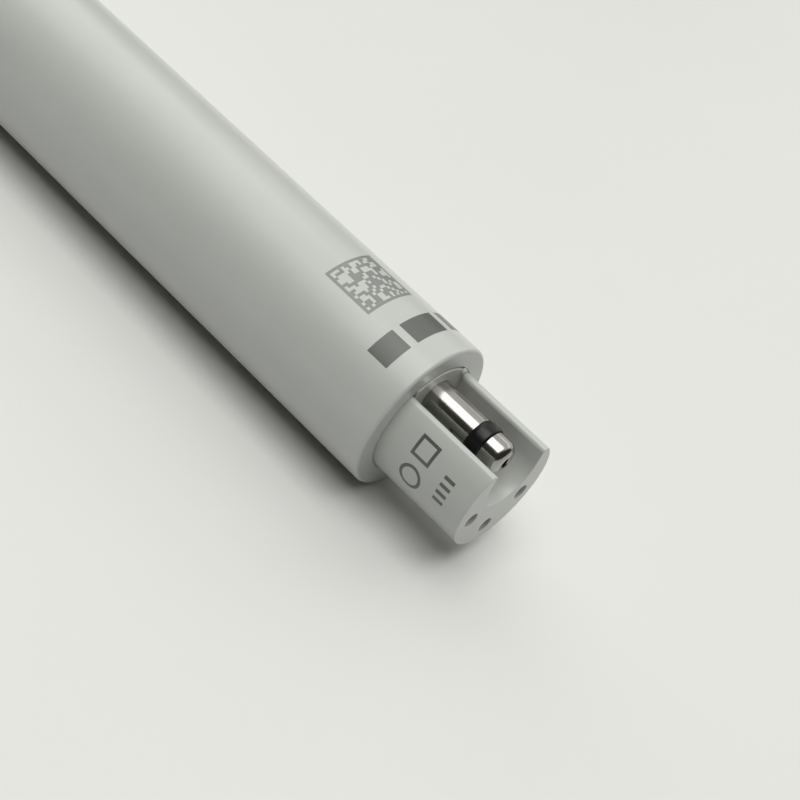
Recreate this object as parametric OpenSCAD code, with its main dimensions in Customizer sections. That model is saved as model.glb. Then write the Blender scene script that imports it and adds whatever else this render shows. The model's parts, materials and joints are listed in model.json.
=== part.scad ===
// Detachable ultrasonic scaler handpiece with a keyed rear connector.
// Millimetres. +X runs along the axis towards the rear connector, +Z through the keyway.
// The origin is the centre of the shoulder ring that the connector stands out of.

/* [Sleeve] */
// Outer diameter of the hand grip
body_d = 18; // [17:0.5:20]
// Length of the sleeve from the shoulder to its front edge
sleeve_l = 92; // [90:1:100]
// Length of the straight, cylindrical stretch of the grip
straight_l = 62; // [60:1:64]
// Outer diameter at the front edge of the sleeve
front_d = 13.6; // [13.4:0.2:15]
// Radius of the rounded rear edge
rear_round = 0.4; // [0.2:0.1:0.6]

/* [Rear connector] */
// Outer diameter of the connector plug
plug_d = 13.2; // [13:0.1:13.4]
// Length of the plug that stands out of the shoulder
plug_l = 11.7; // [11.4:0.1:13]
// Radius of the rounded end edge of the plug
plug_round = 0.35; // [0.2:0.05:0.5]
// Width of the U-shaped keyway
slot_w = 7.6; // [7.2:0.1:7.8]
// Height of the keyway's centre above the axis
slot_z = 2.7; // [2.5:0.1:2.9]
// Radius of the rounded lips of the keyway
wall_round = 0.55; // [0.4:0.05:0.6]

/* [Water nipple] */
// Outer diameter of the nipple behind the O-ring
nipple_d = 4.1; // [4:0.05:4.2]
// Outer diameter of the nose in front of the O-ring
nose_d = 3.9; // [3.8:0.05:3.95]
// How far the nipple's nose stands out of the shoulder
nipple_l = 10.2; // [9.8:0.1:10.6]
// Height of the nipple's centre above the axis
nipple_z = 3.2; // [3:0.1:3.3]
// Inner diameter of the water way
water_d = 1.1; // [0.8:0.1:1.2]
// Outer diameter of the O-ring on the nipple
ring_d = 4.4; // [4.3:0.1:4.6]
// Width of the O-ring
ring_w = 1.7; // [1.4:0.1:1.8]
// Distance of the O-ring's near side from the shoulder
ring_x = 6.1; // [5.6:0.1:6.3]

/* [Contacts] */
// Diameter of the three contact holes
contact_d = 1.76; // [1.6:0.04:1.8]
// Distance of the contact holes from the axis
contact_r = 4.45; // [4.3:0.05:4.5]
// Angle between the lower contact and each side contact
contact_step = 69; // [68:1:72]

/* [Transducer] */
// Diameter of the back mass and of the rear of the horn
mass_d = 9.6; // [9:0.2:9.6]
// Number of piezoelectric rings
piezo_count = 4; // [4:1:4]
// Thickness of each piezoelectric ring
piezo_t = 2; // [1.8:0.1:2.2]
// Thickness of each electrode
electrode_t = 0.3; // [0.2:0.05:0.3]
// Diameter of the horn's slender front
horn_d = 5.2; // [4.8:0.2:5.2]
// Diameter of the tip thread
stud_d = 3; // [2.6:0.1:3]

/* [Nose] */
// Length of the nose cap in front of the sleeve
cap_l = 8; // [7:0.5:9]
// Diameter of the nose cap's front edge
cap_front_d = 10.6; // [10.4:0.2:11.4]
// Outer diameter of the light guide
guide_d = 9; // [8.8:0.1:9]
// Number of lamps behind the light guide
lamp_count = 4; // [4:1:4]

/* [Hidden] */

$fn = 96;
eps = 0.01;
cut = 1;

body_r = body_d / 2;
front_r = front_d / 2;
plug_r = plug_d / 2;
slot_r = slot_w / 2;
nipple_r = nipple_d / 2;
nose_r = nose_d / 2;
water_r = water_d / 2;
ring_r = ring_d / 2;
contact_hole_r = contact_d / 2;
mass_r = mass_d / 2;
horn_r = horn_d / 2;
stud_r = stud_d / 2;
guide_r = guide_d / 2;

// Sleeve: a mouth that takes the plug, a wide bore for the transducer, a narrow nose bore
mouth_r = 6.77;
mouth_l = 9;
bore_r = 7.6;
bore_end = -60;
taper_start_r = 7.3;
taper_end_r = 5.85;
lamp_seat_x = -86;
nose_bore_r = 5.6;
taper_steps = 16;

// Plug: the wider root that sits in the sleeve's mouth, and the gasket in its neck
root_r = 6.73;
neck_r = 6.3;
gasket_t = 0.9;
gasket_recess = 0.1;
carrier_back = -2.2;
carrier_front = 0.1;
carrier_gap = 0.03;
carrier_r = 6;
boss_r = 0.4;
boss_front = 0.4;
boss_at = 6.35;
boss_angle = 32;

// Lips of the keyway: each is a round that touches the keyway's side and the plug's outside
lip_y = slot_r + wall_round;
lip_z = sqrt(pow(plug_r - wall_round, 2) - pow(lip_y, 2));

// Nipple: an O-ring groove, a rounded nose, a foot behind the carrier, and a tail
groove_r = 1.55;
nose_round = 1.1;
foot_r = 2.5;
foot_t = 0.8;
tail_r = 1.3;
tail_gap = 0.2;
tail_end = -12.4;
tube_r = 1.5;

// Contacts: the sleeve of each socket, the depth of its hole, and its solder tail
socket_r = 1.3;
socket_front = plug_l - 2.4;
socket_depth = 7.5;
socket_back = -9;
socket_tail_r = 0.45;
socket_tail_l = 0.6;
socket_tail_gap = 0.05;
contact_angles = [180 + contact_step, 180 - contact_step, 180];

// Rear circuit board
board_front = -9.6;
board_back = -10.6;
board_r = 6.9;

// Transducer stack, from the back mass at the rear to the horn
bolt_head_r = 2.6;
bolt_head_back = -19;
bolt_head_t = 2;
bolt_r = 1.9;
bolt_gap = 0.05;
mass_back = bolt_head_back - bolt_head_t;
mass_l = 8;
stack_back = mass_back - mass_l;
stack_pitch = piezo_t + electrode_t;
stack_front = stack_back - piezo_count * stack_pitch;
piezo_r = 4.7;
bush_r = 2.2;
piezo_hole_r = 2.24;
electrode_r = 4.85;
tab_w = 1.2;
tab_reach = 5.03;
bolt_front = stack_front - 6;

// Horn: a flange at the still point, a cone, the slender front and the tip thread
horn_rear_l = 12;
flange_r = 5.8;
flange_x = stack_front - 5.5;
flange_t = 2;
cone_l = 12;
horn_front = -101;
stud_front = -106;

// Carrier tube around the transducer
carrier_tube_r = 6.4;
carrier_bore_r = 5.9;
collar_r = 7.54;
collar_t = 2;
tube_back = -14;
tube_front = bore_end + eps;
node_ring_t = 1.6;
node_ring_round = 0.4;

// Leads
drive_lead_r = 0.3;
drive_lead_at = 5.35;
lamp_lead_r = 0.3;
lamp_lead_gap = 0.15;
lamp_joint_r = 0.34;
lamp_lead_at = 6.95;
lamp_lead_bend = -58;
lamp_lead_front_at = 5.1;
drive_angles = [55, -55];
lamp_angles = [125, -125];

// Lamps and nose
lamp_board_t = 0.8;
lamp_board_r = 5.8;
lamp_board_hole_r = 3.2;
lamp_size = [0.8, 1.6, 1.2];
lamp_at = 3.85;
skirt_r = 5.55;
skirt_l = 4.4;
guide_hole_r = 3.2;
guide_back = -87.2;
guide_front = -101.2;
guide_gap = 0.08;
cap_ring_x = -90.4;
cap_ring_w = 1;
cap_ring_in = 4.98;
cap_ring_out = 5.57;
cap_ring_round = 0.25;
guide_round = 0.5;
cap_steps = 8;

// Turns a solid built along Z so that it runs along X.
module along_x() {
    rotate([0, 90, 0]) children();
}

// A rod from x0 forward to x1, at height z above the axis and y to its side.
module rod(x0, x1, r, y = 0, z = 0) {
    translate([min(x0, x1), y, z]) along_x() cylinder(h = abs(x1 - x0), r = r);
}

// A tube with the same arguments as a rod and a bore of radius hole.
module tube(x0, x1, r, hole, y = 0, z = 0) {
    difference() {
        rod(x0, x1, r, y, z);
        rod(min(x0, x1) - cut, max(x0, x1) + cut, hole, y, z);
    }
}

// A turned solid: each point is [distance from the axis, position along X].
module turned(points) {
    along_x() rotate_extrude() polygon(points);
}

// Places a child at an angle round the axis, measured from the keyway towards +Y.
module at_angle(angle, distance) {
    rotate([-angle, 0, 0]) translate([0, 0, distance]) children();
}

// Half a wave from 0 to 1, which blends one radius into the next.
function blend(t) = (1 - cos(180 * t)) / 2;

// Quarter circle of radius r about [cx, cy], from angle a0 to a1.
function arc(cx, cy, r, a0, a1, n = 6) = [
    for (i = [0 : n]) [cx + r * cos(a0 + (a1 - a0) * i / n), cy + r * sin(a0 + (a1 - a0) * i / n)]
];

// The smooth waist from the straight grip to the front edge.
function waist() = [
    for (i = [1 : taper_steps])
        [
            body_r + (front_r - body_r) * blend(i / taper_steps),
            -straight_l - (sleeve_l - straight_l) * i / taper_steps
        ]
];

module outer_sleeve() {
    color("whitesmoke")
    turned(concat(
        [[mouth_r, 0]],
        arc(body_r - rear_round, -rear_round, rear_round, 90, 0),
        [[body_r, -straight_l]],
        waist(),
        [
            [nose_bore_r, -sleeve_l],
            [nose_bore_r, lamp_seat_x],
            [taper_end_r, lamp_seat_x],
            [taper_start_r, bore_end],
            [bore_r, bore_end],
            [bore_r, -mouth_l],
            [mouth_r, -mouth_l]
        ]
    ));
}

// Outline of the plug across its axis, with X up through the keyway.
module plug_section() {
    difference() {
        circle(r = plug_r);
        translate([slot_z, 0]) circle(r = slot_r);
        translate([slot_z, -slot_r]) square([body_r, slot_w]);
        for (side = [-1, 1])
            polygon([[lip_z, 0], [lip_z, side * lip_y], 2 * [lip_z, side * lip_y], [2 * lip_z, 0]]);
    }
    for (side = [-1, 1])
        translate([lip_z, side * lip_y]) circle(r = wall_round);
}

// The U of the keyway as a solid from x0 to x1, made smaller by gap all round.
module keyway(x0, x1, gap = 0) {
    rod(x0, x1, slot_r - gap, 0, slot_z);
    translate([x0, gap - slot_r, slot_z]) cube([x1 - x0, slot_w - 2 * gap, body_r]);
}

module rear_plug() {
    color("whitesmoke")
    difference() {
        union() {
            intersection() {
                rotate([0, 90, 0]) mirror([1, 0, 0]) linear_extrude(plug_l) plug_section();
                turned(concat(
                    [[0, 0], [plug_r, 0]],
                    arc(plug_r - plug_round, plug_l - plug_round, plug_round, 0, 90),
                    [[0, plug_l]]
                ));
            }
            rod(-gasket_t, 0, neck_r);
            rod(-mouth_l, -gasket_t, root_r);
        }
        intersection() {
            keyway(carrier_back, cut);
            rod(carrier_back, cut, carrier_r);
        }
        rod(-mouth_l - cut, 0, foot_r + carrier_gap, 0, nipple_z);
        for (angle = contact_angles)
            at_angle(angle, contact_r) {
                rod(socket_front, plug_l + cut, contact_hole_r);
                rod(-mouth_l - cut, socket_front, socket_r + eps);
            }
    }
}

module plug_gasket() {
    color("lightgray") tube(-gasket_t, -gasket_recess, mouth_r - eps, neck_r + eps);
}

module nipple_carrier() {
    color("antiquewhite")
    difference() {
        union() {
            intersection() {
                keyway(carrier_back, carrier_front, carrier_gap);
                union() {
                    rod(carrier_back, 0, carrier_r - carrier_gap);
                    rod(0, carrier_front, plug_r - carrier_gap);
                }
            }
            at_angle(boss_angle, boss_at) rod(0, boss_front, boss_r);
        }
        rod(carrier_back - cut, carrier_front + cut, nipple_r + eps, 0, nipple_z);
    }
}

module water_nipple() {
    color("silver")
    translate([0, 0, nipple_z])
    turned(concat(
        [[water_r, tail_end], [tail_r, tail_end], [tail_r, carrier_back - foot_t]],
        [[foot_r, carrier_back - foot_t], [foot_r, carrier_back], [nipple_r, carrier_back]],
        [[nipple_r, ring_x], [groove_r, ring_x], [groove_r, ring_x + ring_w], [nose_r, ring_x + ring_w]],
        arc(nose_r - nose_round, nipple_l - nose_round, nose_round, 0, 90),
        [[water_r, nipple_l]]
    ));
}

module nipple_o_ring() {
    corner = ring_w / 4;
    rim = ring_r - corner;
    color("black")
    translate([0, 0, nipple_z])
    turned(concat(
        [[groove_r, ring_x + eps]],
        arc(rim, ring_x + corner + eps, corner, -90, 0),
        arc(rim, ring_x + ring_w - corner - eps, corner, 0, 90),
        [[groove_r, ring_x + ring_w - eps]]
    ));
}

module contact_socket(angle) {
    color("gold")
    at_angle(angle, contact_r)
    difference() {
        union() {
            rod(socket_back, socket_front, socket_r);
            rod(board_back - socket_tail_l, socket_back, socket_tail_r);
        }
        rod(socket_front - socket_depth, socket_front + cut, contact_hole_r);
    }
}

module contact_board() {
    color("darkgreen")
    difference() {
        rod(board_back, board_front, board_r);
        rod(board_back - cut, board_front + cut, tail_r + tail_gap, 0, nipple_z);
        for (angle = contact_angles)
            at_angle(angle, contact_r)
                rod(board_back - cut, board_front + cut, socket_tail_r + socket_tail_gap);
    }
}

// The soft tube falls from the nipple's height to the axis of the transducer.
module water_tube() {
    tube_l = tail_end - bolt_head_back;
    lean = atan(nipple_z / tube_l);
    color("lightgray")
    intersection() {
        translate([bolt_head_back, 0, 0]) rotate([0, 90 - lean, 0])
        difference() {
            translate([0, 0, -tube_l]) cylinder(h = 3 * tube_l, r = tube_r);
            translate([0, 0, -tube_l - cut]) cylinder(h = 3 * tube_l + 2 * cut, r = water_r);
        }
        translate([bolt_head_back, -body_r, -body_r]) cube([tube_l, body_d, body_d]);
    }
}

module transducer_carrier() {
    color("ivory")
    difference() {
        union() {
            tube(tube_front, tube_back, carrier_tube_r, carrier_bore_r);
            for (x = [tube_front, tube_back - collar_t]) tube(x, x + collar_t, collar_r, carrier_bore_r);
        }
        for (angle = lamp_angles)
            at_angle(angle, lamp_lead_at)
                rod(tube_front - cut, tube_back + cut, lamp_lead_r + lamp_lead_gap);
    }
}

module back_mass() {
    color("slategray") tube(stack_back, mass_back, mass_r, bolt_r + bolt_gap);
}

// Position of the rear face of the electrode that lies behind ring number i.
function electrode_x(i) = stack_back - (i - 1) * stack_pitch;

module piezo_ring(i) {
    color("dimgray")
    tube(electrode_x(i) - stack_pitch, electrode_x(i) - electrode_t, piezo_r, piezo_hole_r);
}

module electrode(i) {
    color("goldenrod")
    difference() {
        union() {
            rod(electrode_x(i) - electrode_t, electrode_x(i), electrode_r);
            at_angle(drive_angles[i % 2], 0) translate([electrode_x(i) - electrode_t, -tab_w / 2, 0])
                cube([electrode_t, tab_w, tab_reach]);
        }
        rod(electrode_x(i) - cut, electrode_x(i) + cut, piezo_hole_r);
    }
}

module insulating_bush() {
    color("khaki") tube(stack_front, stack_back, bush_r, bolt_r + bolt_gap);
}

module prestress_bolt() {
    color("lightsteelblue")
    difference() {
        union() {
            rod(mass_back, bolt_head_back, bolt_head_r);
            rod(bolt_front, mass_back, bolt_r);
        }
        rod(bolt_front - cut, bolt_head_back + cut, water_r);
    }
}

module horn() {
    cone_back = stack_front - horn_rear_l;
    color("lightslategray")
    difference() {
        union() {
            turned([
                [0, stack_front],
                [mass_r, stack_front],
                [mass_r, cone_back],
                [horn_r, cone_back - cone_l],
                [horn_r, horn_front],
                [0, horn_front]
            ]);
            rod(flange_x - flange_t, flange_x, flange_r);
            rod(stud_front, horn_front, stud_r);
        }
        rod(bolt_front, stack_front + cut, bolt_r + eps);
        rod(stud_front - cut, bolt_front + eps, water_r);
    }
}

module node_ring(x) {
    rim = carrier_bore_r - eps - node_ring_round;
    color("dimgray")
    turned(concat(
        [[mass_r + eps, x]],
        arc(rim, x + node_ring_round, node_ring_round, -90, 0),
        arc(rim, x + node_ring_t - node_ring_round, node_ring_round, 0, 90),
        [[mass_r + eps, x + node_ring_t]]
    ));
}

module drive_lead(i) {
    last_tab = electrode_x(5 - i) - electrode_t;
    color("firebrick") at_angle(drive_angles[i % 2], drive_lead_at) rod(last_tab, board_back, drive_lead_r);
}

module lamp_lead(i) {
    run = lamp_lead_bend - lamp_seat_x - lamp_board_t;
    fall = lamp_lead_at - lamp_lead_front_at;
    color("royalblue")
    at_angle(lamp_angles[i - 1], lamp_lead_at) {
        rod(lamp_lead_bend, board_back, lamp_lead_r);
        translate([lamp_lead_bend, 0, 0]) sphere(r = lamp_joint_r);
        intersection() {
            translate([lamp_lead_bend, 0, 0]) rotate([0, -90 - atan(fall / run), 0])
                cylinder(h = 2 * run, r = lamp_lead_r);
            translate([lamp_lead_bend - run, -cut, -2 * fall]) cube([run, 2 * cut, 3 * fall]);
        }
    }
}

module lamp_board() {
    color("darkgreen") tube(lamp_seat_x, lamp_seat_x + lamp_board_t, lamp_board_r, lamp_board_hole_r);
}

module lamp(i) {
    color("lightyellow")
    at_angle(45 + 360 * i / lamp_count, lamp_at)
        translate([lamp_seat_x - lamp_size[0], -lamp_size[1] / 2, -lamp_size[2] / 2]) cube(lamp_size);
}

module nose_cap() {
    color("whitesmoke")
    turned(concat(
        [[guide_r + guide_gap, -sleeve_l + skirt_l]],
        [[skirt_r, -sleeve_l + skirt_l]],
        [[skirt_r, cap_ring_x + cap_ring_w], [cap_ring_in, cap_ring_x + cap_ring_w]],
        [[cap_ring_in, cap_ring_x], [skirt_r, cap_ring_x]],
        [[skirt_r, -sleeve_l - eps]],
        [
            for (i = [0 : cap_steps])
                [
                    front_r + (cap_front_d / 2 - front_r) * pow(i / cap_steps, 2),
                    -sleeve_l - eps - (cap_l - eps) * i / cap_steps
                ]
        ],
        [[guide_r + guide_gap, -sleeve_l - cap_l]]
    ));
}

module nose_cap_ring() {
    rim = cap_ring_out - cap_ring_round;
    color("black")
    turned(concat(
        [[cap_ring_in + eps, cap_ring_x + eps]],
        arc(rim, cap_ring_x + cap_ring_round + eps, cap_ring_round, -90, 0),
        arc(rim, cap_ring_x + cap_ring_w - cap_ring_round - eps, cap_ring_round, 0, 90),
        [[cap_ring_in + eps, cap_ring_x + cap_ring_w - eps]]
    ));
}

module light_guide() {
    color("lightcyan")
    turned(concat(
        [[guide_hole_r, guide_back], [guide_r, guide_back]],
        arc(guide_r - guide_round, guide_front + guide_round, guide_round, 0, -90),
        [[guide_hole_r, guide_front]]
    ));
}

outer_sleeve();
rear_plug();
plug_gasket();
nipple_carrier();
water_nipple();
nipple_o_ring();
contact_socket(contact_angles[0]);  // contact_socket_left
contact_socket(contact_angles[1]);  // contact_socket_right
contact_socket(contact_angles[2]);  // contact_socket_lower
contact_board();
water_tube();
transducer_carrier();
back_mass();
piezo_ring(1);  // piezo_ring_1
piezo_ring(2);  // piezo_ring_2
piezo_ring(3);  // piezo_ring_3
piezo_ring(4);  // piezo_ring_4
electrode(1);  // electrode_1
electrode(2);  // electrode_2
electrode(3);  // electrode_3
electrode(4);  // electrode_4
insulating_bush();
prestress_bolt();
horn();
node_ring(flange_x + eps);  // node_ring_rear
node_ring(flange_x - flange_t - node_ring_t - eps);  // node_ring_front
drive_lead(1);  // drive_lead_1
drive_lead(2);  // drive_lead_2
lamp_lead(1);  // lamp_lead_1
lamp_lead(2);  // lamp_lead_2
lamp_board();
lamp(1);  // lamp_1
lamp(2);  // lamp_2
lamp(3);  // lamp_3
lamp(4);  // lamp_4
nose_cap();
nose_cap_ring();
light_guide();
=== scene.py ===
"""Looks of a detachable ultrasonic scaler handpiece: its rear plug, water nipple, grip and lit nose."""
import json
import math

import bmesh
import bpy
from mathutils import Matrix, Vector


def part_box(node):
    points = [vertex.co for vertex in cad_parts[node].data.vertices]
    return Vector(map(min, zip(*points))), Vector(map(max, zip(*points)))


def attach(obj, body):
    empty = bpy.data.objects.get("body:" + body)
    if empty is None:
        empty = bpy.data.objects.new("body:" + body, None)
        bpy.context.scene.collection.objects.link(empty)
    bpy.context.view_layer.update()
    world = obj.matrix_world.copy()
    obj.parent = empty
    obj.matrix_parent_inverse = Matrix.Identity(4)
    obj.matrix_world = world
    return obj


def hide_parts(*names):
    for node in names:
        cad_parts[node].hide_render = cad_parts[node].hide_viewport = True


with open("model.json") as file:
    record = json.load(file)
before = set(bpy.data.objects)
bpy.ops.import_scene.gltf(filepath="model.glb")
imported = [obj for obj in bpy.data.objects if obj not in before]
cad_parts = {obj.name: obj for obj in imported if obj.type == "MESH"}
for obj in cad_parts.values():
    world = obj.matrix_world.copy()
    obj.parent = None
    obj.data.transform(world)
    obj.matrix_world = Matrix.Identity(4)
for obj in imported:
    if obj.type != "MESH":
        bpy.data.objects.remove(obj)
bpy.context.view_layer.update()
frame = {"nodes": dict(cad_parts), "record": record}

MM = 0.001
BODY = "handpiece"

# The sizes that every piece is worked out from, in millimetres. +X runs to the plug, +Z through the keyway.
BODY_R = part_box("outer_sleeve")[1][2] / MM
SLEEVE_L = -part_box("outer_sleeve")[0][0] / MM
PLUG_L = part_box("rear_plug")[1][0] / MM
PLUG_R = 6.6
STRAIGHT_L = 62.0
FRONT_R = 6.8
MOUTH_R = 6.77
MOUTH_L = 9
BORE_R = 7.6
BORE_END = -60
TAPER_R0 = 7.3
TAPER_R1 = 5.85
LAMP_SEAT_X = -86
NOSE_BORE_R = 5.6
SLOT_R = 3.8
SLOT_Z = 2.7
LIP_R = 0.55
LIP_Y = SLOT_R + LIP_R
LIP_Z = math.sqrt((PLUG_R - LIP_R) ** 2 - LIP_Y ** 2)
NIPPLE_R = 2.05
NOSE_R = 1.95
NIPPLE_Z = 3.2
NIPPLE_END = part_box("water_nipple")[1][0] / MM
WATER_R = 0.55
RING_X0, RING_X1 = (corner[0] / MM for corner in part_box("nipple_o_ring"))
RING_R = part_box("nipple_o_ring")[1][1] / MM
GROOVE_R = 1.55
CONTACT_AT = 4.45
CONTACT_ANGLES = (249, 111, 180)
CONTACT_R = 0.88
CARRIER_FRONT = 0.1
BOSS_R = 0.4
BOSS_AT = 6.35
BOSS_ANGLE = 32
GUIDE_R = 4.5
GUIDE_HOLE_R = 3.2
GUIDE_X0, GUIDE_X1 = (corner[0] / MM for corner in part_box("light_guide"))
CAP_X0, CAP_X1 = (corner[0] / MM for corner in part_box("nose_cap"))
CAP_FRONT_R = 5.3
SKIRT_R = 5.55
CAP_GROOVE_X0, CAP_GROOVE_X1 = -90.4, -89.4
CAP_GROOVE_R = 4.98
STUD_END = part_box("horn")[0][0] / MM
STUD_START = -101.0
STUD_R = 1.5
HORN_R = 2.6
HORN_REAR_R = 4.8
FLANGE_R = 5.8
BOLT_HOLE_R = 1.95
HORN_BORE_R = 0.55
SEGMENTS = 160


# Mesh building

def arc(cx, cr, radius, a0, a1, steps=8):
    """Points of a round corner in a profile, as (x, distance from the axis). Angles are in degrees."""
    span = [math.radians(a0 + (a1 - a0) * i / steps) for i in range(steps + 1)]
    return [(cx + radius * math.cos(a), cr + radius * math.sin(a)) for a in span]


def add_object(name, bm, material, sharp_deg=38):
    """Turns a bmesh into an object with smooth faces, sharp only where two faces meet at a real corner."""
    bmesh.ops.recalc_face_normals(bm, faces=bm.faces)
    for face in bm.faces:
        face.smooth = True
    for edge in bm.edges:
        corner = len(edge.link_faces) == 2 and edge.calc_face_angle(0) > math.radians(sharp_deg)
        edge.smooth = not corner
    mesh = bpy.data.meshes.new(name)
    bm.to_mesh(mesh)
    bm.free()
    obj = bpy.data.objects.new(name, mesh)
    bpy.context.scene.collection.objects.link(obj)
    obj.data.materials.append(material)
    return obj


def weigh_normals(obj):
    weigh = obj.modifiers.new("weigh", "WEIGHTED_NORMAL")
    weigh.keep_sharp = True


def lathe(name, profile, material, z=0.0, segments=SEGMENTS, closed=True):
    """Spins a profile of (x, r) points in millimetres about X. A closed profile makes a ring-shaped solid."""
    bm = bmesh.new()
    rings = []
    for x, r in profile:
        ring = []
        for j in range(segments):
            turn = 2 * math.pi * j / segments
            ring.append(bm.verts.new((x * MM, r * math.sin(turn) * MM, (z + r * math.cos(turn)) * MM)))
        rings.append(ring)
    pairs = list(zip(rings, rings[1:]))
    if closed:
        pairs.append((rings[-1], rings[0]))
    for ring, following in pairs:
        for j in range(segments):
            k = (j + 1) % segments
            bm.faces.new((ring[j], ring[k], following[k], following[j]))
    obj = add_object(name, bm, material)
    weigh_normals(obj)
    return obj


def extrude_outline(name, outline, x0, x1, material):
    """A prism along X from an outline of (y, z) points in millimetres."""
    bm = bmesh.new()
    back = [bm.verts.new((x0 * MM, y * MM, z * MM)) for y, z in outline]
    front = [bm.verts.new((x1 * MM, y * MM, z * MM)) for y, z in outline]
    bm.faces.new(back)
    bm.faces.new(list(reversed(front)))
    for i in range(len(outline)):
        k = (i + 1) % len(outline)
        bm.faces.new((back[i], back[k], front[k], front[i]))
    return add_object(name, bm, material)


def drill(obj, y, z, radius, x0, x1, segments=48):
    """Cuts a round hole along X and keeps the result as the object's own mesh."""
    bm = bmesh.new()
    middle = Matrix.Translation(((x0 + x1) / 2 * MM, y * MM, z * MM)) @ Matrix.Rotation(math.pi / 2, 4, "Y")
    bmesh.ops.create_cone(bm, cap_ends=True, segments=segments, radius1=radius * MM, radius2=radius * MM,
                          depth=(x1 - x0) * MM, matrix=middle)
    cutter = add_object("cutter", bm, obj.data.materials[0])
    cut = obj.modifiers.new("cut", "BOOLEAN")
    cut.operation = "DIFFERENCE"
    cut.solver = "EXACT"
    cut.object = cutter
    keep_shape(obj)
    bpy.data.objects.remove(cutter)


def keep_shape(obj):
    """Applies the modifiers, so the mesh is the shape that is seen."""
    evaluated = obj.evaluated_get(bpy.context.evaluated_depsgraph_get())
    mesh = bpy.data.meshes.new_from_object(evaluated)
    obj.modifiers.clear()
    obj.data = mesh


def round_edges(obj, width, segments=4, angle=35):
    bevel = obj.modifiers.new("round", "BEVEL")
    bevel.width = width * MM
    bevel.segments = segments
    bevel.limit_method = "ANGLE"
    bevel.angle_limit = math.radians(angle)
    weigh_normals(obj)
    keep_shape(obj)
    for polygon in obj.data.polygons:
        polygon.use_smooth = True


# Materials

class Shader:
    """A material's node tree, with short calls for the few nodes that the looks here need."""

    def __init__(self, name, color, roughness, **sockets):
        self.material = bpy.data.materials.new(name)
        self.material.use_nodes = True
        self.tree = self.material.node_tree
        self.bsdf = self.tree.nodes["Principled BSDF"]
        self.bsdf.inputs["Base Color"].default_value = (*color, 1)
        self.bsdf.inputs["Roughness"].default_value = roughness
        for socket, value in sockets.items():
            self.bsdf.inputs[socket.replace("_", " ")].default_value = value
        self.position = self.node("ShaderNodeTexCoord").outputs["Object"]

    def node(self, kind, **settings):
        made = self.tree.nodes.new(kind)
        for key, value in settings.items():
            setattr(made, key, value)
        return made

    def link(self, source, target):
        self.tree.links.new(source, target)

    def math(self, operation, a, b=0.0, clamp=False):
        made = self.node("ShaderNodeMath", operation=operation, use_clamp=clamp)
        for socket, value in zip(made.inputs, (a, b)):
            if isinstance(value, (int, float)):
                socket.default_value = value
            else:
                self.link(value, socket)
        return made.outputs[0]

    def noise(self, scale, detail=3.0, stretch=(1, 1, 1)):
        """Noise at scale features per metre, drawn out along an axis by a stretch under 1."""
        mapping = self.node("ShaderNodeMapping")
        mapping.inputs["Scale"].default_value = stretch
        self.link(self.position, mapping.inputs["Vector"])
        made = self.node("ShaderNodeTexNoise")
        made.inputs["Scale"].default_value = scale
        made.inputs["Detail"].default_value = detail
        self.link(mapping.outputs[0], made.inputs["Vector"])
        return made.outputs["Fac"]

    def mix(self, factor, a, b):
        """A blend of two colours; each is a colour tuple or another node's output."""
        made = self.node("ShaderNodeMix", data_type="RGBA")
        for socket, value in zip((made.inputs[6], made.inputs[7]), (a, b)):
            if isinstance(value, tuple):
                socket.default_value = (*value, 1)
            else:
                self.link(value, socket)
        self.link(factor, made.inputs[0])
        return made.outputs[2]

    def color(self, output):
        self.link(output, self.bsdf.inputs["Base Color"])

    def roughness_between(self, factor, low, high):
        ramp = self.node("ShaderNodeMapRange")
        self.link(factor, ramp.inputs["Value"])
        ramp.inputs["To Min"].default_value = low
        ramp.inputs["To Max"].default_value = high
        self.link(ramp.outputs[0], self.bsdf.inputs["Roughness"])

    def bump(self, height, distance_mm, strength=1.0):
        made = self.node("ShaderNodeBump")
        made.inputs["Strength"].default_value = strength
        made.inputs["Distance"].default_value = distance_mm * MM
        self.link(height, made.inputs["Height"])
        self.link(made.outputs[0], self.bsdf.inputs["Normal"])

    def polar(self):
        """Position along X and arc length round the axis from the keyway, both in millimetres at radius 1."""
        split = self.node("ShaderNodeSeparateXYZ")
        self.link(self.position, split.inputs[0])
        x = self.math("MULTIPLY", split.outputs[0], 1 / MM)
        turn = self.math("ARCTAN2", split.outputs[1], split.outputs[2])
        return x, turn

    def inside(self, value, low, high, soft=0.04):
        """1 between low and high, with a soft edge as print has."""
        above = self.math("DIVIDE", self.math("SUBTRACT", value, low), soft, clamp=True)
        below = self.math("DIVIDE", self.math("SUBTRACT", high, value), soft, clamp=True)
        return self.math("MULTIPLY", above, below)


WHITE = (0.55, 0.566, 0.546)
WHITE_SHADE = (0.512, 0.529, 0.508)
PLUG_WHITE = (0.53, 0.546, 0.526)
PLUG_SHADE = (0.491, 0.508, 0.486)
PRINT_GREY = (0.045, 0.056, 0.044)
PRINT_COVER = 0.9
TABLE_WHITE = (0.745, 0.747, 0.737)
TABLE_SHADE = (0.715, 0.717, 0.707)


def moulded_plastic(name, light=WHITE, shade=WHITE_SHADE, roughness=0.38):
    """Moulded plastic: faint clouding, a fine satin grain and a thin skin of gloss."""
    shader = Shader(name, light, roughness, Coat_Weight=0.5, Coat_Roughness=0.24)
    shader.color(shader.mix(shader.noise(140, 4), light, shade))
    shader.roughness_between(shader.noise(2600, 2), roughness - 0.05, roughness + 0.09)
    shader.bump(shader.noise(5200, 3), 0.006, 0.5)
    return shader


def print_on(shader, mask):
    """Lays grey print over the plastic where mask is 1."""
    base = shader.bsdf.inputs["Base Color"].links[0].from_socket
    shader.color(shader.mix(shader.math("MULTIPLY", mask, PRINT_COVER), base, PRINT_GREY))


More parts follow.
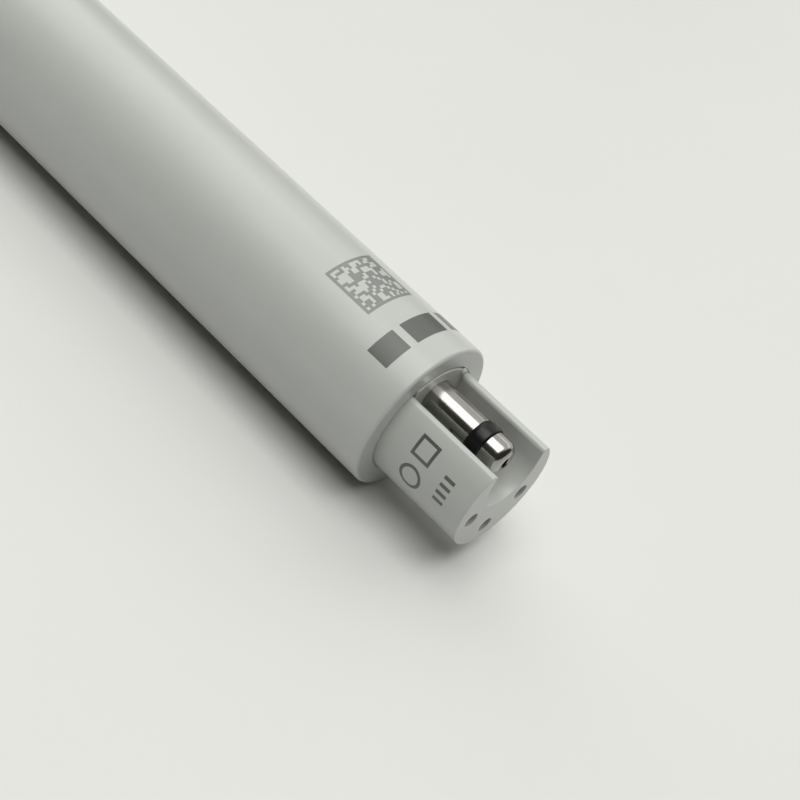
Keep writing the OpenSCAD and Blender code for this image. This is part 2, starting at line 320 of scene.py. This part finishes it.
def grip_plastic():
    """The grip's plastic with plain printed marks behind the shoulder: three bars and a patch of dots."""
    shader = moulded_plastic("grip_plastic")
    x, turn = shader.polar()
    across = shader.math("MULTIPLY", turn, BODY_R)
    bar_spans = ((-6.7, -3.3), (-2.4, 2.4), (3.3, 6.7))
    bar_x0, bar_x1 = -5.9, -3.1
    pitch = 0.36
    patch_x0, patch_x1, patch_low, patch_high = (pitch * count for count in (-42, -24, -11, 8))
    patch_strength = 0.7
    bars = None
    for low, high in bar_spans:
        bar = shader.inside(across, low, high)
        bars = bar if bars is None else shader.math("MAXIMUM", bars, bar)
    bars = shader.math("MULTIPLY", bars, shader.inside(x, bar_x0, bar_x1))
    cells = shader.node("ShaderNodeCombineXYZ")
    shader.link(shader.math("FLOOR", shader.math("DIVIDE", x, pitch)), cells.inputs[0])
    shader.link(shader.math("FLOOR", shader.math("DIVIDE", across, pitch)), cells.inputs[1])
    chance = shader.node("ShaderNodeTexWhiteNoise", noise_dimensions="2D")
    shader.link(cells.outputs[0], chance.inputs["Vector"])
    dots = shader.math("GREATER_THAN", chance.outputs["Value"], 0.5)
    patch, core = (
        shader.math("MULTIPLY", shader.inside(x, patch_x0 + border, patch_x1 - border),
                    shader.inside(across, patch_low + border, patch_high - border))
        for border in (0, pitch)
    )
    edge = shader.math("SUBTRACT", patch, core)
    label = shader.math("MAXIMUM", shader.math("MULTIPLY", dots, core), edge)
    print_on(shader, shader.math("MAXIMUM", bars, shader.math("MULTIPLY", label, patch_strength)))
    return shader.material


def plug_plastic():
    """The plug's plastic with a plain ring, a square outline and a row of dashes printed on one flank."""
    shader = moulded_plastic("plug_plastic", PLUG_WHITE, PLUG_SHADE)
    flank = math.radians(84)
    marks_x = 4.7
    ring_at = 1.6
    square_at = -1.9
    dash_pitch = 0.9
    dash_offset = 8.0
    x, turn = shader.polar()
    down = shader.math("MULTIPLY", shader.math("ADD", turn, flank), -PLUG_R)
    dx = shader.math("SUBTRACT", x, marks_x)
    ring_dd = shader.math("SUBTRACT", down, ring_at)
    squares = shader.math("ADD", shader.math("MULTIPLY", dx, dx), shader.math("MULTIPLY", ring_dd, ring_dd))
    ring = shader.inside(shader.math("SQRT", squares), 1.0, 1.42)
    box_x = shader.math("ABSOLUTE", dx)
    box_dd = shader.math("ABSOLUTE", shader.math("SUBTRACT", down, square_at))
    square = shader.inside(shader.math("MAXIMUM", box_x, box_dd), 0.85, 1.25)
    step = shader.math("MODULO", shader.math("ADD", down, dash_offset), dash_pitch)
    dashes = shader.math("MULTIPLY", shader.inside(step, 0.1, 0.55), shader.inside(down, -1.8, 1.75))
    dashes = shader.math("MULTIPLY", dashes, shader.inside(x, 7.8, 9.2))
    print_on(shader, shader.math("MAXIMUM", shader.math("MAXIMUM", ring, square), dashes))
    return shader.material


def metal(name, color, roughness, turned=0.0):
    """Machined metal: fine turning lines round the axis and a slightly uneven polish."""
    shader = Shader(name, color, roughness, Metallic=1.0)
    dull = tuple(channel * 0.82 for channel in color)
    shader.color(shader.mix(shader.noise(420, 4), color, dull))
    shader.roughness_between(shader.noise(900, 3), roughness * 0.8, roughness * 1.35)
    if turned:
        shader.bump(shader.noise(9000, 2, stretch=(1, 0.02, 0.02)), turned)
    return shader.material


def rubber(name, color, roughness):
    """Moulded rubber or silicone: slightly clouded, with a fine dull grain."""
    shader = Shader(name, color, roughness, Specular_IOR_Level=0.32)
    lighter = tuple(min(1, channel * 1.5 + 0.006) for channel in color)
    shader.color(shader.mix(shader.noise(700, 4), color, lighter))
    shader.roughness_between(shader.noise(1600, 3), roughness, roughness + 0.14)
    shader.bump(shader.noise(4200, 3), 0.01, 0.6)
    return shader.material


def clear_plastic(name):
    """The light guide: clear, slightly frosted plastic."""
    shader = Shader(name, (0.93, 0.96, 0.97), 0.12, Transmission_Weight=0.9, IOR=1.49)
    shader.color(shader.mix(shader.noise(500, 3), (0.93, 0.96, 0.97), (0.86, 0.9, 0.91)))
    shader.roughness_between(shader.noise(1500, 3), 0.08, 0.2)
    return shader.material


def fibre_board(name):
    """Green circuit board with a faint weave under the lacquer."""
    shader = Shader(name, (0.02, 0.16, 0.07), 0.35, Coat_Weight=0.3)
    weave = shader.noise(3000, 2, stretch=(1, 1, 0.15))
    shader.color(shader.mix(weave, (0.015, 0.13, 0.055), (0.03, 0.2, 0.09)))
    shader.bump(shader.noise(3200, 2), 0.01, 0.5)
    return shader.material


def plain_plastic(name, color, roughness=0.45):
    """The moulded plastic of an inner piece, in its own colour."""
    shade = tuple(channel * 0.86 for channel in color)
    return moulded_plastic(name, color, shade, roughness).material


LOOKS = {
    "white_plastic": moulded_plastic("cap_plastic").material,
    "plug_plastic": plug_plastic(),
    "gasket_grey": rubber("gasket_grey", (0.36, 0.36, 0.33), 0.55),
    "carrier_plastic": plain_plastic("carrier_plastic", (0.62, 0.625, 0.58), 0.42),
    "nipple_steel": metal("nipple_steel", (0.44, 0.43, 0.405), 0.17, 0.002),
    "o_ring_rubber": rubber("o_ring_rubber", (0.003, 0.003, 0.0035), 0.24),
    "contact_brass": metal("contact_brass", (0.32, 0.24, 0.11), 0.35, 0.002),
    "board_green": fibre_board("board_green"),
    "tube_silicone": rubber("tube_silicone", (0.6, 0.62, 0.62), 0.4),
    "carrier_ivory": plain_plastic("carrier_ivory", (0.72, 0.69, 0.6)),
    "mass_steel": metal("mass_steel", (0.45, 0.46, 0.48), 0.32, 0.003),
    "piezo_ceramic": plain_plastic("piezo_ceramic", (0.2, 0.18, 0.17), 0.6),
    "electrode_brass": metal("electrode_brass", (0.7, 0.5, 0.2), 0.35),
    "bush_plastic": plain_plastic("bush_plastic", (0.45, 0.3, 0.1)),
    "bolt_steel": metal("bolt_steel", (0.5, 0.5, 0.52), 0.28, 0.003),
    "horn_titanium": metal("horn_titanium", (0.42, 0.41, 0.4), 0.3, 0.004),
    "lead_red": plain_plastic("lead_red", (0.4, 0.03, 0.02)),
    "lead_blue": plain_plastic("lead_blue", (0.03, 0.08, 0.35)),
    "lamp_lens": plain_plastic("lamp_lens", (0.85, 0.8, 0.5), 0.2),
    "clear_guide": clear_plastic("clear_guide"),
}
GRIP = grip_plastic()


# Pieces

def place(piece, body, slot, *nodes):
    """Rides a piece on its body in place of the CAD nodes it stands for."""
    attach(piece, body)
    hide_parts(*nodes)


def sleeve():
    """The grip: a straight tube with a rounded rear edge and a smooth waist to the nose."""
    waist_steps = 40
    straight_steps = 8
    mouth_round = 0.05
    rear_round = 0.4
    waist = []
    for i in range(1, waist_steps + 1):
        share = i / waist_steps
        fall = (1 - math.cos(math.pi * share)) / 2
        waist.append((-STRAIGHT_L - (SLEEVE_L - STRAIGHT_L) * share, BODY_R + (FRONT_R - BODY_R) * fall))
    profile = arc(-mouth_round, MOUTH_R + mouth_round, mouth_round, 270, 360, 3)
    profile += arc(-rear_round, BODY_R - rear_round, rear_round, 0, 90)
    profile += [(-STRAIGHT_L * i / straight_steps, BODY_R) for i in range(1, straight_steps + 1)]
    profile += waist
    profile += [(-SLEEVE_L, NOSE_BORE_R), (LAMP_SEAT_X, NOSE_BORE_R), (LAMP_SEAT_X, TAPER_R1)]
    profile += [(BORE_END, TAPER_R0), (BORE_END, BORE_R), (-MOUTH_L, BORE_R), (-MOUTH_L, MOUTH_R)]
    place(lathe("sleeve", profile, GRIP), BODY, "white_plastic", "outer_sleeve")


def plug_outline():
    """The plug across its axis: a circle opened at the top by a U with rounded lips."""
    outer_steps = 60
    lip_steps = 20
    edge = math.degrees(math.atan2(LIP_Y, LIP_Z))
    outer = [(PLUG_R * math.sin(math.radians(a)), PLUG_R * math.cos(math.radians(a)))
             for a in [180 - (180 - edge) * i / outer_steps for i in range(outer_steps)]]
    lip = [(LIP_Y + LIP_R * math.cos(math.radians(a)), LIP_Z + LIP_R * math.sin(math.radians(a)))
           for a in [90 - edge + (90 + edge) * i / lip_steps for i in range(lip_steps + 1)]]
    floor = [(SLOT_R * math.cos(math.radians(a)), SLOT_Z - SLOT_R * math.sin(math.radians(a)))
             for a in range(0, 91, 3)]
    half = outer + lip + floor
    mirrored = [(-y, z) for y, z in reversed(half[1:-1])]
    return half + mirrored


def plug():
    """The connector plug: the keyed prism with its contact holes, softened at every edge."""
    neck_l = 0.9
    hole_depth = 10
    edge_round = 0.3
    piece = extrude_outline("plug", plug_outline(), -neck_l, PLUG_L, LOOKS["plug_plastic"])
    for angle in CONTACT_ANGLES:
        y = CONTACT_AT * math.sin(math.radians(angle))
        z = CONTACT_AT * math.cos(math.radians(angle))
        drill(piece, y, z, CONTACT_R, PLUG_L - hole_depth, PLUG_L + 1)
    round_edges(piece, edge_round)
    place(piece, BODY, "plug_plastic", "rear_plug")


def carrier_outline():
    """The U that closes the keyway's inner end, out to the plug's own radius."""
    gap = 0.03
    crown_steps = 24
    reach = PLUG_R - gap
    side = SLOT_R - gap
    floor = [(side * math.cos(math.radians(a)), SLOT_Z - side * math.sin(math.radians(a)))
             for a in range(0, 181, 4)]
    edge = math.degrees(math.asin(side / reach))
    crown = [(reach * math.sin(math.radians(a)), reach * math.cos(math.radians(a)))
             for a in [-edge + 2 * edge * i / crown_steps for i in range(crown_steps + 1)]]
    return floor + crown


def carrier():
    """The plate round the nipple, with its small round boss."""
    plate_back = -0.6
    boss_front = 0.38
    boss_round = 0.14
    piece = extrude_outline("carrier", carrier_outline(), plate_back, CARRIER_FRONT, LOOKS["carrier_plastic"])
    drill(piece, 0, NIPPLE_Z, NIPPLE_R + 0.01, -1, 1, 64)
    round_edges(piece, 0.06, 3)
    place(piece, BODY, "carrier_plastic", "nipple_carrier")
    profile = [(0, BOSS_R)] + arc(boss_front - boss_round, BOSS_R - boss_round, boss_round, 90, 0, 6)
    profile += [(boss_front, 0.001)]
    boss = lathe("carrier_boss", profile, LOOKS["carrier_plastic"], segments=40, closed=False)
    turn = math.radians(BOSS_ANGLE)
    boss.location = (0, BOSS_AT * math.sin(turn) * MM, BOSS_AT * math.cos(turn) * MM)
    place(boss, BODY, "carrier_plastic", "nipple_carrier")


def nipple():
    """A polished tube with an O-ring groove and a bullet nose round the water bore."""
    back = -2.2
    corner = 0.07
    nose_round = 1.1
    lead_in = 0.1
    profile = [(back, WATER_R), (back, NIPPLE_R)]
    profile += [(RING_X0 - corner, NIPPLE_R), (RING_X0, NIPPLE_R - corner), (RING_X0, GROOVE_R)]
    profile += [(RING_X1, GROOVE_R), (RING_X1, NOSE_R - corner), (RING_X1 + corner, NOSE_R)]
    profile += arc(NIPPLE_END - nose_round, NOSE_R - nose_round, nose_round, 90, 0, 12)
    profile += [(NIPPLE_END, WATER_R + lead_in), (NIPPLE_END - lead_in, WATER_R)]
    place(lathe("nipple", profile, LOOKS["nipple_steel"], NIPPLE_Z, 96), BODY, "nipple_steel", "water_nipple")


def o_ring(name, x0, x1, inner, outer, z=0.0):
    """A rubber ring whose section is pressed flat on all sides, between a circle and a rectangle."""
    flat = 0.5
    steps = 28
    middle_x, middle_r = (x0 + x1) / 2, (inner + outer) / 2
    half_w, half_h = (x1 - x0) / 2, (outer - inner) / 2
    profile = []
    for i in range(steps):
        turn = 2 * math.pi * i / steps
        c, s = math.cos(turn), math.sin(turn)
        profile.append((middle_x + half_w * math.copysign(abs(c) ** flat, c),
                        middle_r + half_h * math.copysign(abs(s) ** flat, s)))
    return lathe(name, profile, LOOKS["o_ring_rubber"], z, 96)


def nipple_ring():
    """The O-ring that seals the nipple in the cord's socket."""
    ring = o_ring("nipple_ring", RING_X0, RING_X1, GROOVE_R, RING_R, NIPPLE_Z)
    place(ring, BODY, "o_ring_rubber", "nipple_o_ring")


def cap_ring():
    """The O-ring in the skirt's groove, which holds the cap in the sleeve."""
    fit = 0.02
    stands_out = 0.01
    x0, x1 = CAP_GROOVE_X0 + fit, CAP_GROOVE_X1 - fit
    ring = o_ring("cap_ring", x0, x1, CAP_GROOVE_R + fit, SKIRT_R + stands_out)
    place(ring, "nose_cap", "o_ring_rubber", "nose_cap_ring")


def nose_cap():
    """The front cap: a skirt with its ring groove, and a crowned cone outside."""
    steps = 14
    fit = 0.08
    seam = 0.02
    skirt_corner = 0.1
    corner = 0.12
    front_round = 0.3
    hole_r = GUIDE_R + fit
    shoulder = -SLEEVE_L - seam
    profile = [(CAP_X1, hole_r), (CAP_X1, SKIRT_R - skirt_corner), (CAP_X1 - skirt_corner, SKIRT_R)]
    profile += [(CAP_GROOVE_X1, SKIRT_R), (CAP_GROOVE_X1, CAP_GROOVE_R)]
    profile += [(CAP_GROOVE_X0, CAP_GROOVE_R), (CAP_GROOVE_X0, SKIRT_R), (shoulder, SKIRT_R)]
    profile += [(shoulder, FRONT_R - corner), (shoulder - corner, FRONT_R)]
    for i in range(1, steps):
        share = i / steps
        x = -SLEEVE_L + (CAP_X0 + SLEEVE_L) * share
        profile.append((x, FRONT_R + (CAP_FRONT_R - FRONT_R) * share ** 2))
    profile += arc(CAP_X0 + front_round, CAP_FRONT_R + seam - front_round, front_round, 90, 180, 6)
    profile += [(CAP_X0, hole_r + corner), (CAP_X0 + corner, hole_r)]
    place(lathe("nose_cap_shell", profile, LOOKS["white_plastic"]), "nose_cap", "white_plastic", "nose_cap")


def light_guide():
    """The clear tube that brings the lamps' light to the front."""
    rear_corner = 0.1
    front_round = 0.5
    hole_corner = 0.2
    profile = [(GUIDE_X1, GUIDE_HOLE_R), (GUIDE_X1, GUIDE_R - rear_corner), (GUIDE_X1 - rear_corner, GUIDE_R)]
    profile += arc(GUIDE_X0 + front_round, GUIDE_R - front_round, front_round, 90, 180, 8)
    profile += [(GUIDE_X0, GUIDE_HOLE_R + hole_corner), (GUIDE_X0 + hole_corner, GUIDE_HOLE_R)]
    place(lathe("guide", profile, LOOKS["clear_guide"]), "light_guide", "clear_guide", "light_guide")


def threaded_stud():
    """The tip's thread: a rod whose radius follows a helix, tapered at both ends."""
    pitch = 0.5
    depth = 0.28
    per_turn = 10
    around = 64
    root = 0.2
    start_l = 0.4
    end_l = 0.35
    bore_r = 0.5
    bore_depth = 3
    length = STUD_START - STUD_END
    rows = int(length / pitch * per_turn)
    bm = bmesh.new()
    rings = []
    for i in range(rows + 1):
        x = STUD_START + root - (length + root) * i / rows
        ring = []
        for j in range(around):
            turn = 2 * math.pi * j / around
            phase = ((STUD_START - x) / pitch + j / around) % 1
            groove = 1 - abs(2 * phase - 1)
            run_out = min(1, max(0, (STUD_START - x) / start_l), max(0.05, (x - STUD_END) / end_l))
            r = STUD_R - depth * (groove * run_out + (1 - run_out) * (x < STUD_START - 1))
            ring.append(bm.verts.new((x * MM, r * math.sin(turn) * MM, r * math.cos(turn) * MM)))
        rings.append(ring)
    bore = []
    for j in range(around):
        turn = 2 * math.pi * j / around
        bore.append(bm.verts.new((STUD_END * MM, bore_r * math.sin(turn) * MM, bore_r * math.cos(turn) * MM)))
    deep = [bm.verts.new((vert.co.x + bore_depth * MM, vert.co.y, vert.co.z)) for vert in bore]
    rings += [bore, deep]
    for ring, following in zip(rings, rings[1:]):
        for j in range(around):
            k = (j + 1) % around
            bm.faces.new((ring[j], ring[k], following[k], following[j]))
    return add_object("stud", bm, LOOKS["horn_titanium"], 60)


def horn():
    """The horn: thick rear with its flange, a cone, and a slender front with a shallow band."""
    rear = -38.2
    flange_back, flange_front = -43.7, -45.7
    cone_back, cone_front = -50.2, -62.2
    bolt_hole_end = -44.2
    band_back, band_front = -98.6, -99.4
    band_r = HORN_R - 0.15
    corner = 0.1
    step = 0.2
    profile = [(rear, BOLT_HOLE_R), (rear, HORN_REAR_R - corner), (rear - corner, HORN_REAR_R)]
    profile += [(flange_back, HORN_REAR_R), (flange_back, FLANGE_R)]
    profile += [(flange_front, FLANGE_R), (flange_front, HORN_REAR_R)]
    profile += [(cone_back, HORN_REAR_R), (cone_front, HORN_R)]
    profile += [(band_back, HORN_R), (band_back - step, band_r)]
    profile += [(band_front + step, band_r), (band_front, HORN_R)]
    profile += [(STUD_START + step, HORN_R), (STUD_START, HORN_R - step), (STUD_START, HORN_BORE_R)]
    profile += [(bolt_hole_end, HORN_BORE_R), (bolt_hole_end, BOLT_HOLE_R)]
    place(lathe("horn_body", profile, LOOKS["horn_titanium"], 0, 96), BODY, "horn_titanium", "horn")
    place(threaded_stud(), BODY, "horn_titanium", "horn")


def carry_over():
    """Every CAD piece that stays gets the look of its material slot."""
    slots = {part["node"]: part["material_slot"] for part in frame["record"]["subparts"]}
    for name, obj in frame["nodes"].items():
        look = LOOKS[slots[name]]
        if not obj.material_slots:
            obj.data.materials.append(look)
        for slot in obj.material_slots:
            slot.material = look


carry_over()
sleeve()
plug()
carrier()
nipple()
nipple_ring()
nose_cap()
cap_ring()
light_guide()
horn()


# Stage, lights and camera

ROOM_LIGHT = (1.0, 0.995, 0.965)
LAMP_AWAY = 1.8


def floor():
    """The pale table top that the grip lies on."""
    bm = bmesh.new()
    bmesh.ops.create_grid(bm, x_segments=1, y_segments=1, size=1.5)
    shader = Shader("table_top", TABLE_WHITE, 0.5)
    shader.color(shader.mix(shader.noise(18, 4), TABLE_WHITE, TABLE_SHADE))
    shader.bump(shader.noise(700, 3), 0.02, 0.3)
    obj = add_object("table", bm, shader.material)
    obj.location = (0, 0, -BODY_R * MM)


def softbox(name, direction, watts, size=1.5):
    """A square lamp that stands off from the origin along direction and faces it."""
    lamp = bpy.data.lights.new(name, "AREA")
    lamp.shape = "RECTANGLE"
    lamp.size = lamp.size_y = size
    lamp.energy = watts
    lamp.color = ROOM_LIGHT
    obj = bpy.data.objects.new(name, lamp)
    towards = Vector(direction).normalized()
    obj.location = towards * LAMP_AWAY
    obj.rotation_euler = towards.to_track_quat("Z", "Y").to_euler()
    bpy.context.scene.collection.objects.link(obj)


def room_glow(strength):
    """The dim light that comes from all round the room, which looks pale past the floor's edge."""
    seen_strength = 0.7
    world = bpy.data.worlds.new("room")
    world.use_nodes = True
    background = world.node_tree.nodes["Background"]
    background.inputs["Color"].default_value = (1, 1, 0.97, 1)
    rays = world.node_tree.nodes.new("ShaderNodeLightPath")
    blend = world.node_tree.nodes.new("ShaderNodeMapRange")
    blend.inputs["To Min"].default_value = strength
    blend.inputs["To Max"].default_value = seen_strength
    world.node_tree.links.new(rays.outputs["Is Camera Ray"], blend.inputs["Value"])
    world.node_tree.links.new(blend.outputs["Result"], background.inputs["Strength"])
    bpy.context.scene.world = world


def camera():
    """A view of the plug end from above and behind, with the handpiece running off at the top left."""
    stands_at = Vector((51.5, -117.8, 100.7)) * MM
    data = bpy.data.cameras.new("camera")
    data.sensor_width = 36
    data.lens = 72.5
    data.clip_start = 0.005
    obj = bpy.data.objects.new("camera", data)
    forward = Vector((-0.3318, 0.7162, -0.6139)).normalized()
    up = Vector((-0.6517, 0.2964, 0.6981))
    right = forward.cross(up).normalized()
    up = right.cross(forward)
    turn = Matrix((right, up, -forward)).transposed().to_4x4()
    obj.matrix_world = Matrix.Translation(stands_at) @ turn
    bpy.context.scene.collection.objects.link(obj)
    bpy.context.scene.camera = obj


floor()
softbox("ceiling", (0, -0.2, 0.98), 22.5)
softbox("far_ceiling", (0, 0.42, 0.91), 17.5, 2.7)
softbox("far_left", (-0.8, 0.3, 0.6), 9)
softbox("low_far_side", (0.1, 0.95, 0.3), 5.6)
room_glow(0.04)
camera()
bpy.context.scene.view_settings.view_transform = "Standard"
